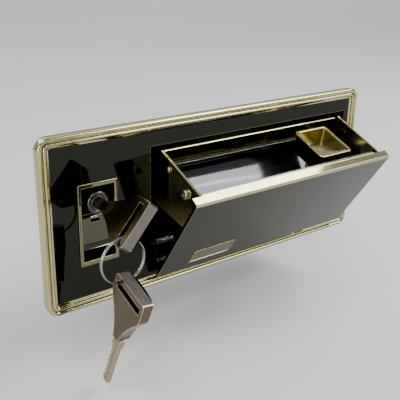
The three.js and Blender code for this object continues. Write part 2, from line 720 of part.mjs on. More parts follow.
// Ramp inside the cup that climbs to the front, with ribs along its steep front end.
function cupRest() {
  const { back, low, knee, kneeHeight, front, top, sheet, ribs, ribWidth, ribRise } = REST;
  const halfWidth = CUP.width / 2 - CUP.rim - CUP.wall - 0.3;
  const ramp = prismX([
    [back, low], [knee, kneeHeight], [front, top], [front, top - sheet * 1.4],
    [knee, kneeHeight - sheet * 1.3],
    [back, low - sheet * 0.8],
  ], -halfWidth, halfWidth);
  const pitch = (2 * halfWidth) / ribs;
  const bars = Array.from({ length: ribs }, (_, i) => {
    const x = -halfWidth + pitch * (i + 0.5) - ribWidth / 2;
    return prismX([
      [front, top - 0.2], [front, top + ribRise], [front + 0.5, top + ribRise], [knee, kneeHeight + ribRise],
      [knee + 0.8, kneeHeight - 0.6],
    ], x, x + ribWidth);
  });
  return join(ramp, ...bars);
}

const cupFoot = () => prismZ(circle(0, 0, 4.5, 20), -CUP.depth - 9.2, -CUP.depth - 0.3);

function hingeArm() {
  const side = [
    [-2.9, -28], [1.75, -31.6], [3.86, -33.8], [4.6, -37.5],
    ...arc(PIVOT.y, PIVOT.z, PIVOT.bossRadius, 160, 380, 12),
    [12, -37], [10, -29.5], [8.3, -24.8], [5.6, -23.2], [1.6, -23.4], [-2.9, -19],
  ];
  const pinHole = circle(PIVOT.y, PIVOT.z, PIVOT.boreRadius, 20);
  const holes = [pinHole, circle(BOLT.y, BOLT.z, BOLT.radius + 0.45, 16)];
  const foot = block(ARM.left + 0.5, ARM.right + 9, -2.9, -1.5, -28, -19);
  return join(prismX(side, ARM.left, ARM.right, holes), foot);
}

// ---------------------------------------------------------------- assembly
const hopperPlate = new THREE.Group();

function add(parent, name, geometry, material) {
  const mesh = new THREE.Mesh(geometry, material);
  mesh.name = name;
  parent.add(mesh);
}

function group(parent, position, rotation = [0, 0, 0]) {
  const child = new THREE.Group();
  child.position.set(...position);
  child.rotation.set(...rotation);
  parent.add(child);
  return child;
}

add(hopperPlate, 'face_plate', facePlate(), GOLD());
add(hopperPlate, 'door_gasket', doorGasket(), FOAM());
for (const [corner, [x, z]] of Object.entries(STUDS)) {
  add(hopperPlate, `stud_${corner}`, stud(x, z), STEEL());
  add(hopperPlate, `stud_nut_${corner}`, studNut(x, z), STEEL());
}
add(hopperPlate, 'pocket_bezel', pocketBezel(), GOLD());
add(hopperPlate, 'pocket_cup', pocketCup(), GOLD());
add(hopperPlate, 'lock_cylinder', cylinderBody(), STEEL());
add(hopperPlate, 'lock_nut', cylinderNut(), STEEL());
add(hopperPlate, 'finger_paddle', paddlePlate(), GOLD());
add(hopperPlate, 'paddle_pin', paddlePin(), STEEL());
add(hopperPlate, 'paddle_spring', paddleSpring(), STEEL());
add(hopperPlate, 'case_top', caseTop(), DARK_STEEL());
add(hopperPlate, 'case_bottom', caseBottom(), DARK_STEEL());
add(hopperPlate, 'case_back', caseBack(), DARK_STEEL());
add(hopperPlate, 'case_end_left', caseEndLeft(), DARK_STEEL());
add(hopperPlate, 'case_end_right', caseEnd(CASE.right - CASE.sheet), DARK_STEEL());
add(hopperPlate, 'hinge_bracket_left', hingeBracket(true), DARK_STEEL());
add(hopperPlate, 'hinge_bracket_right', mirrored(hingeBracket(false)), DARK_STEEL());
add(hopperPlate, 'pivot_pin_left', pivotPin(), STEEL());
add(hopperPlate, 'pivot_pin_right', mirrored(pivotPin()), STEEL());
add(hopperPlate, 'pivot_clip_left', pivotClip(), STEEL());
add(hopperPlate, 'pivot_clip_right', mirrored(pivotClip()), STEEL());
add(hopperPlate, 'pivot_bush_left', pivotBush(), BRASS());
add(hopperPlate, 'pivot_bush_right', mirrored(pivotBush()), BRASS());
add(hopperPlate, 'tilt_spring', tiltSpring(), STEEL());
add(hopperPlate, 'bolt_guide', boltGuide(), BRASS());
add(hopperPlate, 'bolt_carrier', boltCarrier(), STEEL());
add(hopperPlate, 'bolt_rod', boltRod(), STEEL());
add(hopperPlate, 'bolt_spring', boltSpring(), STEEL());

// The hopper hangs in a group that is opened about the hinge pins.
const opened = group(hopperPlate, [0, PIVOT.y, PIVOT.z], [OPEN_ANGLE, 0, 0]);
const hopper = group(opened, [0, -PIVOT.y, -PIVOT.z]);
add(hopper, 'flap', flap(), GOLD());
add(hopper, 'flap_badge', badge(), GOLD());
add(hopper, 'cheek_left', cheek(), GOLD());
add(hopper, 'cheek_right', mirrored(cheek()), GOLD());
add(hopper, 'cheek_screw_left_front', cheekScrewFront(), STEEL());
add(hopper, 'cheek_screw_left_rear', cheekScrew(REAR_SCREW), STEEL());
add(hopper, 'cheek_screw_right_front', mirrored(cheekScrewFront()), STEEL());
add(hopper, 'cheek_screw_right_rear', mirrored(cheekScrew(REAR_SCREW)), STEEL());
add(hopper, 'tray_shell', trayShell(), GOLD());
add(hopper, 'tray_liner', trayLiner(), BLACK_NICKEL());
add(hopper, 'hinge_arm_left', hingeArm(), STEEL());
add(hopper, 'hinge_arm_right', mirrored(hingeArm()), STEEL());
const cup = group(hopper, [CUP.x, CUP.y, CUP.z], [CUP.tilt, 0, 0]);
add(cup, 'snuff_cup', cupTub(), BRASS());
add(cup, 'cup_rest', cupRest(), BRASS());
add(cup, 'cup_foot', cupFoot(), BRASS());

// The plug and its key turn about the lock's axis.
const turned = group(hopperPlate, [LOCK.x, 0, LOCK.z], [0, KEY_ANGLE, 0]);
add(turned, 'lock_plug', lockPlug(), BRASS());
add(turned, 'lock_cam', lockCam(), STEEL());
add(turned, 'cam_screw', camScrew(), STEEL());
const insertedKey = group(turned, [0, KEY_END, 0]);
add(insertedKey, 'key_1_head', keyHead(), KEY_BRONZE());
add(insertedKey, 'key_1_blade', keyBlade(), NICKEL());

const ringGroup = group(hopperPlate, [RING.x, RING_Y, RING.z]);
add(ringGroup, 'split_ring', splitRing(), STEEL());

// The second key hangs from the lowest point of the ring by the door-side end of its slot.
const keyLength = new THREE.Vector3(-0.096, 0.316, -0.944).normalize();
const keyFlat = new THREE.Vector3(0.995, 0.002, -0.1).normalize();
const keyWidth = new THREE.Vector3().crossVectors(keyFlat, keyLength).normalize();
keyFlat.crossVectors(keyLength, keyWidth);
const hangingKey = group(hopperPlate, [RING.x, RING_Y, RING.z - RING.radius]);
hangingKey.setRotationFromMatrix(new THREE.Matrix4().makeBasis(keyFlat, keyLength, keyWidth));
const hungKey = group(hangingKey, [0, -HANG.wireAlongLength, -HANG.wireAlongWidth]);
add(hungKey, 'key_2_head', keyHead(), KEY_BRONZE());
add(hungKey, 'key_2_blade', keyBlade(), NICKEL());

export default hopperPlate;
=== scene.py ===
import json
import math

import bmesh
import bpy
from mathutils import Matrix, Vector
from mathutils.geometry import tessellate_polygon


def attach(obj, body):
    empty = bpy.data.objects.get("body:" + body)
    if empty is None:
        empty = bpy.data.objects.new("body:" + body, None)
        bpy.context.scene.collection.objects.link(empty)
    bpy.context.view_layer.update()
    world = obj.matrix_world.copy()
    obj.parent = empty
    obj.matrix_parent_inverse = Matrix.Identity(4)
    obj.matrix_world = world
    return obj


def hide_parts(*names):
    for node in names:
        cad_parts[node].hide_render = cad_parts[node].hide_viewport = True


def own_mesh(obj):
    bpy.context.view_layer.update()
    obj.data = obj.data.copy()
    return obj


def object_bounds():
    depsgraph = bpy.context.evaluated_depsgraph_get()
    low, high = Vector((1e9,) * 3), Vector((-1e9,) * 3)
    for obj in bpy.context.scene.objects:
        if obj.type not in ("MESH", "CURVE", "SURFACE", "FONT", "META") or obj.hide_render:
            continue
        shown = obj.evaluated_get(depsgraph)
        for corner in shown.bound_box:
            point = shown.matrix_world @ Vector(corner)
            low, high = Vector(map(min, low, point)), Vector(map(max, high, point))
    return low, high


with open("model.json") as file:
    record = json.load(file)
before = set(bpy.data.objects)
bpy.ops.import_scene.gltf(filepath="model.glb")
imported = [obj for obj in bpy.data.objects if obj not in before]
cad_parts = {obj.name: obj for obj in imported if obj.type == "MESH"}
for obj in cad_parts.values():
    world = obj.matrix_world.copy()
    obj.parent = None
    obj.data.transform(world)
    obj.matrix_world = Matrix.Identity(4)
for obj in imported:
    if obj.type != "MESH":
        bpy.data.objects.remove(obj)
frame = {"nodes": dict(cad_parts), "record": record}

MM = 0.001
cad_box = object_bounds()
nodes = frame["nodes"]
scene = bpy.context.scene

# ------------------------------------------------------------------ camera, floor and light
CAMERA_PLACE = Vector((-0.2436, -0.2980, 0.1396))
CAMERA_AZIMUTH = math.radians(37.67)
CAMERA_ELEVATION = math.radians(-21.01)
CAMERA_ROLL = math.radians(1.13)
CAMERA_LENS = 60.06
CAMERA_SENSOR = 36
WORLD_COLOR = (0.80, 0.84, 0.90, 1)
WORLD_STRENGTH = 0.62
FLOOR_DROP = 0.006
FLOOR_REACH = 6
FLOOR_COLOR = (0.62, 0.61, 0.60, 1)
FLOOR_ROUGHNESS = 0.9
LIGHT_TARGET = (0.02, -0.02, 0)


def make_camera():
    data = bpy.data.cameras.new("camera")
    data.lens = CAMERA_LENS
    data.sensor_width = CAMERA_SENSOR
    camera = bpy.data.objects.new("camera", data)
    scene.collection.objects.link(camera)
    turn = (
        Matrix.Rotation(-CAMERA_AZIMUTH, 4, "Z")
        @ Matrix.Rotation(math.pi / 2 + CAMERA_ELEVATION, 4, "X")
        @ Matrix.Rotation(CAMERA_ROLL, 4, "Z")
    )
    camera.matrix_world = Matrix.Translation(CAMERA_PLACE) @ turn
    scene.camera = camera


def area_light(name, place, target, size, power, color):
    data = bpy.data.lights.new(name, "AREA")
    data.shape = "RECTANGLE"
    data.size, data.size_y = size
    data.energy = power
    data.color = color
    light = bpy.data.objects.new(name, data)
    scene.collection.objects.link(light)
    light.location = place
    light.rotation_euler = (Vector(target) - Vector(place)).to_track_quat("-Z", "Y").to_euler()


def make_world():
    world = bpy.data.worlds.new("studio")
    world.use_nodes = True
    background = world.node_tree.nodes["Background"]
    background.inputs["Color"].default_value = WORLD_COLOR
    background.inputs["Strength"].default_value = WORLD_STRENGTH
    scene.world = world


def make_floor():
    mesh = bpy.data.meshes.new("floor")
    signs = ((-1, -1), (1, -1), (1, 1), (-1, 1))
    mesh.from_pydata([(FLOOR_REACH * a, FLOOR_REACH * b, 0) for a, b in signs], [], [(0, 1, 2, 3)])
    floor = bpy.data.objects.new("floor", mesh)
    scene.collection.objects.link(floor)
    floor.location.z = cad_box[0][2] - FLOOR_DROP
    material = bpy.data.materials.new("floor_paint")
    material.use_nodes = True
    shader = material.node_tree.nodes["Principled BSDF"]
    shader.inputs["Base Color"].default_value = FLOOR_COLOR
    shader.inputs["Roughness"].default_value = FLOOR_ROUGHNESS
    mesh.materials.append(material)


make_camera()
make_world()
make_floor()
area_light("soft_box", (0.80, -0.62, 0.80), LIGHT_TARGET, (0.9, 0.4), 12, (1.0, 0.985, 0.95))
area_light("top_box", (0.70, -0.22, 0.95), LIGHT_TARGET, (0.62, 0.34), 7, (0.97, 0.98, 1.0))
area_light("left_strip", (-1.0, -0.55, 0.2), LIGHT_TARGET, (0.14, 0.9), 10, (1.0, 0.93, 0.8))
area_light("high_left", (-0.6, -0.3, 1.2), LIGHT_TARGET, (0.7, 0.5), 8, (1.0, 0.98, 0.96))
area_light("back_fill", (-0.5, 1.2, 0.8), (0, 0, 0), (0.8, 0.4), 4, (0.95, 0.97, 1.0))
area_light("far_fill", (1.7, 2.4, 1.7), (1.7, 2.41, 0), (3.6, 2.6), 40, (1.0, 1.0, 1.0))


# ------------------------------------------------------------------ materials
class Nodes:
    """Short way to write a material's node tree."""

    def __init__(self, name):
        self.material = bpy.data.materials.new(name)
        self.material.use_nodes = True
        self.tree = self.material.node_tree
        self.shader = self.tree.nodes["Principled BSDF"]
        self.place = self.add("TexCoord").outputs["Object"]

    def add(self, kind, **inputs):
        node = self.tree.nodes.new("ShaderNode" + kind)
        for key, value in inputs.items():
            self.put(node, key.replace("_", " "), value)
        return node

    def put(self, node, key, value):
        if hasattr(value, "is_output"):
            self.tree.links.new(value, node.inputs[key])
        else:
            node.inputs[key].default_value = value

    def noise(self, scale, detail=5, stretch=(1, 1, 1), turn=(0, 0, 0)):
        mapping = self.add("Mapping", Vector=self.place, Scale=stretch, Rotation=turn)
        return self.add(
            "TexNoise", Vector=mapping.outputs["Vector"], Scale=scale, Detail=detail,
        ).outputs["Fac"]

    def spread(self, value, low, high, start=0.3, end=0.7):
        node = self.add("MapRange", Value=value)
        self.put(node, "From Min", start)
        self.put(node, "From Max", end)
        self.put(node, "To Min", low)
        self.put(node, "To Max", high)
        return node.outputs["Result"]

    def math(self, operation, a, b):
        node = self.tree.nodes.new("ShaderNodeMath")
        node.operation = operation
        self.put(node, 0, a)
        self.put(node, 1, b)
        return node.outputs[0]

    def blend(self, factor, a, b):
        node = self.tree.nodes.new("ShaderNodeMix")
        node.data_type = "RGBA"
        self.put(node, "Factor", factor)
        self.put(node, "A", a if hasattr(a, "is_output") else (*a, 1))
        self.put(node, "B", b if hasattr(b, "is_output") else (*b, 1))
        return node.outputs["Result"]

    def edges(self, radius):
        """About 0 on flat faces, rising at convex and concave edges within the radius."""
        rounded = self.add("Bevel", Radius=radius).outputs["Normal"]
        true = self.add("NewGeometry").outputs["True Normal"]
        dot = self.tree.nodes.new("ShaderNodeVectorMath")
        dot.operation = "DOT_PRODUCT"
        self.put(dot, 0, rounded)
        self.put(dot, 1, true)
        return self.spread(dot.outputs["Value"], 1, 0, 0.82, 0.995)

    def bump(self, height, strength, distance):
        node = self.add("Bump", Height=height, Strength=strength, Distance=distance)
        self.put(self.shader, "Normal", node.outputs["Normal"])

    def finish(self, color, rough, metallic=1.0):
        self.put(self.shader, "Base Color", color if hasattr(color, "is_output") else (*color, 1))
        self.put(self.shader, "Roughness", rough)
        self.put(self.shader, "Metallic", metallic)
        return self.material


def plated(name, color, deep, rough, smudge=0.05, edge=None, edge_size=0.0006, wave=0.04):
    """Polished plating: slow waviness, fingerprints, hairline scratches, and edges painted brighter, partly
    as wear and partly as a painted highlight.
    """
    n = Nodes(name)
    haze = n.spread(n.noise(38, 8), 0, 1, 0.42, 0.72)
    hairline = n.spread(n.noise(900, 2, (1, 1, 0.03), (0.2, 0.1, 0.5)), 0, 1, 0.66, 0.74)
    tone = n.blend(n.noise(14, 4), color, deep)
    # edge: a brighter colour along the edges, partly wear and partly a painted highlight.
    if edge:
        tone = n.blend(n.math("MULTIPLY", n.edges(edge_size), n.spread(n.noise(160), 0.55, 1)), tone, edge)
    rough_all = n.math("ADD", n.math("MULTIPLY", haze, smudge), n.math("MULTIPLY", hairline, 0.05))
    n.bump(n.math("ADD", n.noise(22, 2), n.math("MULTIPLY", hairline, 0.01)), wave, 0.0015)
    return n.finish(tone, n.math("ADD", rough_all, rough))


def brushed(
    name, color, deep, rough, stretch, grain=1400, depth=0.25, edge=None, edge_size=0.0005, metallic=1.0,
):
    """Satin metal with a directional grain, small pits, and polished edges painted brighter as a painted
    highlight.
    """
    n = Nodes(name)
    lines = n.noise(grain, 3, stretch)
    pits = n.spread(n.noise(1700, 2), 0, 1, 0.62, 0.7)
    tone = n.blend(n.noise(90, 6), color, deep)
    tone = n.blend(n.math("MULTIPLY", pits, 0.35), tone, tuple(c * 0.4 for c in deep))
    roughness = n.spread(lines, rough * 0.75, rough * 1.35)
    # edge: the edges get a brighter painted highlight colour and a smoother finish.
    if edge:
        mask = n.edges(edge_size)
        tone = n.blend(mask, tone, edge)
        roughness = n.math("SUBTRACT", roughness, n.math("MULTIPLY", mask, rough * 0.5))
    n.bump(n.math("SUBTRACT", lines, n.math("MULTIPLY", pits, 0.6)), depth, 0.0001)
    return n.finish(tone, roughness, metallic)


def coated(name, color, rough, grain, depth, metallic, worn=(0.16, 0.16, 0.165)):
    """Baked coating with an orange-peel surface, dust and a little bare metal at the edges."""
    n = Nodes(name)
    peel = n.noise(grain, 4)
    dust = n.spread(n.noise(30, 8), 0, 0.35, 0.5, 0.8)
    tone = n.blend(dust, color, tuple(min(1, c + 0.05) for c in color))
    wear = n.math("MULTIPLY", n.edges(0.0004), n.spread(n.noise(260, 5), 0, 1, 0.52, 0.62))
    tone = n.blend(wear, tone, worn)
    n.bump(peel, depth, 0.0002)
    return n.finish(tone, n.spread(peel, rough * 0.85, rough * 1.2), metallic)


def cheek_gold(name):
    """Gold sheet, polished along its top and satin lower down, where it was never buffed."""
    n = Nodes(name)
    height = n.add("SeparateXYZ", Vector=n.place).outputs["Z"]
    low = n.spread(n.math("ADD", height, n.math("MULTIPLY", n.noise(60, 4), 0.006)), 1, 0, -0.004, 0.016)
    grain = n.noise(1600, 3, (1, 1, 0.08))
    tone = n.blend(n.noise(40, 5), (0.66, 0.58, 0.24), (0.50, 0.42, 0.14))
    # Painted highlight: the edges are blended to a pale, bright gold.
    tone = n.blend(n.edges(0.0007), tone, (0.85, 0.80, 0.42))
    n.bump(grain, 0.06, 0.0001)
    return n.finish(tone, n.math("ADD", n.math("MULTIPLY", low, 0.34), n.spread(grain, 0.08, 0.14)))


# Painted dark reflection: the plate's gold plating gets a near-black base colour, standing in for the dark
# room it mirrors; this material carries it to the plate, the flap and the cup's outer walls.
GOLD_PAINTED_DARK = (0.024, 0.026, 0.021)
# Where a material gets an edge colour, the edges carry it as a painted highlight, partly wear.
MATERIALS = {
    "gold_mirror": plated(
        "gold_mirror", GOLD_PAINTED_DARK, (0.017, 0.019, 0.015), 0.02, 0.03, (0.30, 0.28, 0.16), 0.0005,
    ),
    # Painted highlight: the same gold plating as the near-black flats, given a bright colour for the
    # plate's moulding, the flap's top and the bevels of the flap and cheeks.
    "gold_bead_painted_lit": plated("gold_bead_painted_lit", (0.50, 0.47, 0.27), (0.42, 0.385, 0.19), 0.05, 0.04, wave=0.02),
    "gold_trim": plated(
        "gold_trim", (0.20, 0.19, 0.12), (0.15, 0.14, 0.08), 0.03, 0.03, (0.5, 0.46, 0.26), 0.0005,
    ),
    "gold_olive": plated(
        "gold_olive", (0.095, 0.095, 0.068), (0.07, 0.07, 0.048), 0.04, 0.04, (0.4, 0.37, 0.22), 0.0005,
    ),
    "gold_sheet": plated(
        "gold_sheet", (0.50, 0.44, 0.17), (0.38, 0.32, 0.10), 0.07, 0.06, (0.8, 0.75, 0.38), 0.0007, 0.012,
    ),
    "cheek_gold": cheek_gold("cheek_gold"),
    "black_nickel": plated(
        "black_nickel", (0.060, 0.061, 0.064), (0.045, 0.046, 0.05), 0.10, 0.10, (0.4, 0.4, 0.36), 0.0004,
    ),
    "cup_brass": plated(
        "cup_brass", (0.40, 0.345, 0.12), (0.27, 0.22, 0.06), 0.14, 0.10, (0.95, 0.90, 0.42), 0.0009,
    ),
    "rest_brass": brushed(
        "rest_brass", (0.58, 0.52, 0.40), (0.46, 0.41, 0.30), 0.42, (1, 0.06, 1), 1200, 0.2,
    ),
    "turned_brass": brushed(
        "turned_brass", (0.85, 0.62, 0.24), (0.7, 0.48, 0.16), 0.5, (0.05, 1, 1), 2200, 0.2,
    ),
    "plain_steel": brushed(
        "plain_steel", (0.50, 0.50, 0.49), (0.33, 0.33, 0.32), 0.26, (1, 1, 0.2), 1500, 0.2,
        (0.75, 0.75, 0.73),
    ),
    # Painted shade: the lock's nickel is made near-black because it sits in the shaded pocket.
    "lock_nickel": brushed(
        "lock_nickel", (0.085, 0.088, 0.075), (0.055, 0.056, 0.048), 0.26, (1, 1, 1), 1500, 0.15,
        (0.26, 0.26, 0.22),
    ),
    "blackened_steel": coated("blackened_steel", (0.012, 0.012, 0.013), 0.42, 700, 0.15, 0.2),
    "ring_steel": brushed(
        "ring_steel", (0.26, 0.27, 0.27), (0.17, 0.17, 0.17), 0.24, (1, 1, 0.2), 1500, 0.2, (0.5, 0.5, 0.5),
    ),
    # Painted shade: the pocket's recess is made near-black.
    "pocket_painted_shade": plated(
        "pocket_painted_shade", (0.03, 0.029, 0.022), (0.02, 0.019, 0.014), 0.06, 0.08, (0.16, 0.15, 0.09), 0.0004,
    ),
    "gasket_foam": coated("gasket_foam", (0.02, 0.02, 0.02), 0.9, 2600, 0.9, 0.0, (0.05, 0.05, 0.05)),
    "bronze_satin": plated(
        "bronze_satin", (0.135, 0.102, 0.064), (0.105, 0.078, 0.048), 0.20, 0.05, (0.85, 0.76, 0.56),
        0.0009, 0.02,
    ),
    "key_end": brushed(
        "key_end", (0.19, 0.18, 0.155), (0.14, 0.13, 0.112), 0.28, (1, 1, 0.08), 2600, 0.12,
        (0.7, 0.66, 0.6),
    ),
    "key_nickel": brushed(
        "key_nickel", (0.40, 0.35, 0.23), (0.26, 0.22, 0.13), 0.20, (1, 1, 0.1), 2000, 0.25,
        (0.8, 0.76, 0.62),
    ),
}
slots = {part["node"]: part["material_slot"] for part in frame["record"]["subparts"]}


# ------------------------------------------------------------------ modifiers
SMOOTH_BELOW = 32
PLANAR_WITHIN = 0.5


def shade_group():
    """Node group: clears imported normals, then smooths every edge flatter than SMOOTH_BELOW."""
    group = bpy.data.node_groups.new("shade_by_angle", "GeometryNodeTree")
    group.interface.new_socket("Geometry", in_out="INPUT", socket_type="NodeSocketGeometry")
    group.interface.new_socket("Geometry", in_out="OUTPUT", socket_type="NodeSocketGeometry")
    add = group.nodes.new
    link = group.links.new
    clear = add("GeometryNodeRemoveAttribute")
    clear.inputs["Name"].default_value = "custom_normal"
    faces = add("GeometryNodeSetShadeSmooth")
    edges = add("GeometryNodeSetShadeSmooth")
    edges.domain = "EDGE"
    angle = add("GeometryNodeInputMeshEdgeAngle")
    below = add("FunctionNodeCompare")
    below.operation = "LESS_THAN"
    below.inputs["B"].default_value = math.radians(SMOOTH_BELOW)
    link(add("NodeGroupInput").outputs[0], clear.inputs["Geometry"])
    link(clear.outputs["Geometry"], faces.inputs["Geometry"])
    link(faces.outputs["Geometry"], edges.inputs["Geometry"])
    link(angle.outputs["Unsigned Angle"], below.inputs["A"])
    link(below.outputs["Result"], edges.inputs["Shade Smooth"])
    link(edges.outputs["Geometry"], add("NodeGroupOutput").inputs[0])
    return group


SHADE = shade_group()


def weigh(obj):
    """Lets large flat faces keep their own normal, so that narrow bevels carry all of the turn."""
    weighted = obj.modifiers.new("weighted", "WEIGHTED_NORMAL")
    weighted.weight = 100
    weighted.keep_sharp = True


def soften(obj, width, trim=None):
    """Rounds a CAD node's edges without touching its mesh; trim names another material for them."""
    weld = obj.modifiers.new("weld", "WELD")
    weld.merge_threshold = 1e-6
    planar = obj.modifiers.new("planar", "DECIMATE")
    planar.decimate_type = "DISSOLVE"
    planar.angle_limit = math.radians(PLANAR_WITHIN)
    if width:
        bevel = obj.modifiers.new("bevel", "BEVEL")
        bevel.width = width * MM
        bevel.segments = 2
        bevel.limit_method = "ANGLE"
        bevel.angle_limit = math.radians(SMOOTH_BELOW)
        bevel.use_clamp_overlap = True
        bevel.miter_outer = "MITER_ARC"
        if trim:
            obj.data.materials.append(MATERIALS[trim])
            bevel.material = len(obj.data.materials) - 1
    shade = obj.modifiers.new("shade", "NODES")
    shade.node_group = SHADE
    weigh(obj)


# ------------------------------------------------------------------ mesh helpers (mm in, m out)
PIVOT = (9.2, -42.4)
OPEN_ANGLE = math.radians(33.6)
OPENED = (
    Matrix.Translation((0, PIVOT[0] * MM, PIVOT[1] * MM))
    @ Matrix.Rotation(OPEN_ANGLE, 4, "X")
    @ Matrix.Translation((0, -PIVOT[0] * MM, -PIVOT[1] * MM))
)


def round_and_shade(bm, bevel, segments, angle):
    """Bevels the edges sharper than the angle, then smooths all that are flatter."""
    limit = math.radians(angle)
    if bevel:
        sharp = [e for e in bm.edges if len(e.link_faces) == 2 and e.calc_face_angle(0) > limit]
        bmesh.ops.bevel(
            bm, geom=sharp, offset=bevel * MM, segments=segments, profile=0.5, affect="EDGES",
            clamp_overlap=True,
        )
    for face in bm.faces:
        face.smooth = True
    for edge in bm.edges:
        edge.smooth = len(edge.link_faces) == 2 and edge.calc_face_angle(0) < limit


def make(name, bm, material, matrix=None, bevel=0, segments=2, angle=32):
    """Turns a bmesh into a finished object; a bevel is applied to its mesh."""
    bmesh.ops.recalc_face_normals(bm, faces=bm.faces)
    round_and_shade(bm, bevel, segments, angle)
    mesh = bpy.data.meshes.new(name)
    bm.to_mesh(mesh)
    bm.free()
    obj = bpy.data.objects.new(name, mesh)
    scene.collection.objects.link(obj)
    mesh.materials.append(MATERIALS[material])
    if matrix is not None:
        mesh.transform(matrix)
    return obj


def stand_for(obj, body, node):
    """Puts a finished piece on a body in place of a CAD node."""
    weigh(obj)
    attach(obj, body)
    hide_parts(node)
    return obj


def prism(bm, outline, axis, low, high, holes=()):
    """Extrudes an outline along an axis. Outline pairs are (y, z) for X, (x, z) for Y and (x, y) for Z."""
    place = {
        "X": lambda a, b, t: (t, a, b),
        "Y": lambda a, b, t: (a, t, b),
        "Z": lambda a, b, t: (a, b, t),
    }[axis]
    loops = [outline, *holes]
    ends = []
    for t in (low, high):
        ends.append([[bm.verts.new(Vector(place(a, b, t)) * MM) for a, b in loop] for loop in loops])
    for near, far in zip(*ends):
        for i in range(len(near)):
            j = (i + 1) % len(near)
            bm.faces.new((near[i], near[j], far[j], far[i]))
    for end in ends:
        cap(bm, end)
    return bm


def cap(bm, loops):
    """Closes a planar region, with holes if there are any."""
    if len(loops) == 1:
        bm.faces.new(loops[0])
        return
    flat = [v for loop in loops for v in loop]
    triangles = tessellate_polygon([[v.co for v in loop] for loop in loops])
    faces = [bm.faces.new([flat[i] for i in triangle]) for triangle in triangles]
    bmesh.ops.join_triangles(
        bm, faces=faces, angle_face_threshold=0.01, angle_shape_threshold=3.1,
    )


def arc(a, b, radius, start, end, steps):
    """Points round (a, b), with the angles in degrees."""
    angles = [math.radians(start + (end - start) * i / steps) for i in range(steps + 1)]
    return [(a + radius * math.cos(t), b + radius * math.sin(t)) for t in angles]


def rounded(a0, a1, b0, b1, radius, steps=8):
    """Rectangle with rounded corners."""
    return [
        *arc(a1 - radius, b1 - radius, radius, 0, 90, steps),
        *arc(a0 + radius, b1 - radius, radius, 90, 180, steps),
        *arc(a0 + radius, b0 + radius, radius, 180, 270, steps),
        *arc(a1 - radius, b0 + radius, radius, 270, 360, steps),
    ]


def bridge(bm, loops):
    """Quads between neighbouring closed loops of equal length."""
    count = len(loops[0])
    for near, far in zip(loops, loops[1:]):
        for i in range(count):
            j = (i + 1) % count
            bm.faces.new((near[i], near[j], far[j], far[i]))


def lathe(bm, profile, centre, steps=48, axis="Y"):
    """Turns a [radius, height] profile about an axis; a first or last radius of 0 closes the end."""
    loops = []
    for radius, height in profile:
        ring = []
        for i in range(1 if radius < 1e-6 else steps):
            t = 2 * math.pi * i / steps
            a, b = radius * math.cos(t), radius * math.sin(t)
            if axis == "Y":
                point = (centre[0] + a, height, centre[1] + b)
            else:
                point = (height, centre[0] + a, centre[1] + b)
            ring.append(bm.verts.new(Vector(point) * MM))
        loops.append(ring)
    for near, far in zip(loops, loops[1:]):
        for i in range(steps):
            j = (i + 1) % steps
            quad = [near[i % len(near)], near[j % len(near)], far[j % len(far)], far[i % len(far)]]
            corners = [v for k, v in enumerate(quad) if v not in quad[:k]]
            if len(corners) > 2:
                bm.faces.new(corners)
    return bm


def sweep(bm, points, radius, sides):
    """Round wire along points in millimetres, with pointed ends."""
    path = [Vector(p) for p in points]
    count = len(path)
    normal = None
    rings = []
    for i in range(count):
        tangent = (path[min(i + 1, count - 1)] - path[max(i - 1, 0)]).normalized()
        if normal is None:
            normal = tangent.orthogonal().normalized()
        normal = (normal - tangent * normal.dot(tangent)).normalized()
        side = tangent.cross(normal)
        rings.append([
            bm.verts.new((path[i] + radius * (normal * math.cos(t) + side * math.sin(t))) * MM)
            for t in (2 * math.pi * k / sides for k in range(sides))
        ])
    bridge(bm, rings)
    for ring, end, before in ((rings[0], path[0], path[1]), (rings[-1], path[-1], path[-2])):
        point = bm.verts.new((end + (end - before).normalized() * radius * 0.5) * MM)
        for i in range(sides):
            bm.faces.new((ring[i], ring[(i + 1) % sides], point))
    return bm


def boolean(obj, cutter, operation="DIFFERENCE"):
    """Applies a boolean in code and removes the cutter."""
    modifier = obj.modifiers.new("cut", "BOOLEAN")
    modifier.operation = operation
    modifier.solver = "EXACT"
    modifier.object = cutter
    bpy.context.view_layer.update()
    evaluated = obj.evaluated_get(bpy.context.evaluated_depsgraph_get())
    result = bpy.data.meshes.new_from_object(evaluated)
    obj.modifiers.clear()
    obj.data = result
    bpy.data.objects.remove(cutter)
    return obj


def tint(obj, material, test):
    """Gives the faces that pass the test (centre in mm, normal) another material."""
    obj.data.materials.append(MATERIALS[material])
    for face in obj.data.polygons:
        if test(face.center / MM, face.normal):
            face.material_index = len(obj.data.materials) - 1


def rework(obj, bevel, segments=2, angle=32, clean=0.5):
    """Merges, flattens and bevels a mesh after booleans."""
    bm = bmesh.new()
    bm.from_mesh(obj.data)
    bmesh.ops.remove_doubles(bm, verts=bm.verts, dist=2e-6)
    bmesh.ops.dissolve_limit(bm, angle_limit=math.radians(clean), verts=bm.verts, edges=bm.edges)
    round_and_shade(bm, bevel, segments, angle)
    bm.to_mesh(obj.data)
    bm.free()
    return obj


# ------------------------------------------------------------------ face plate and pocket frame
PLATE_A, PLATE_B, PLATE_R, FACE_Y = 117.5, 50.0, 7.0, -3.0
MOULDING = 6.3
OPENING = dict(left=-50.8, right=106.8, bottom=-35.0, top=35.25, notch=30.3, low=-38.5)
POCKET_HOLE = (-95.65, -73.65, -23.65, 20.65)


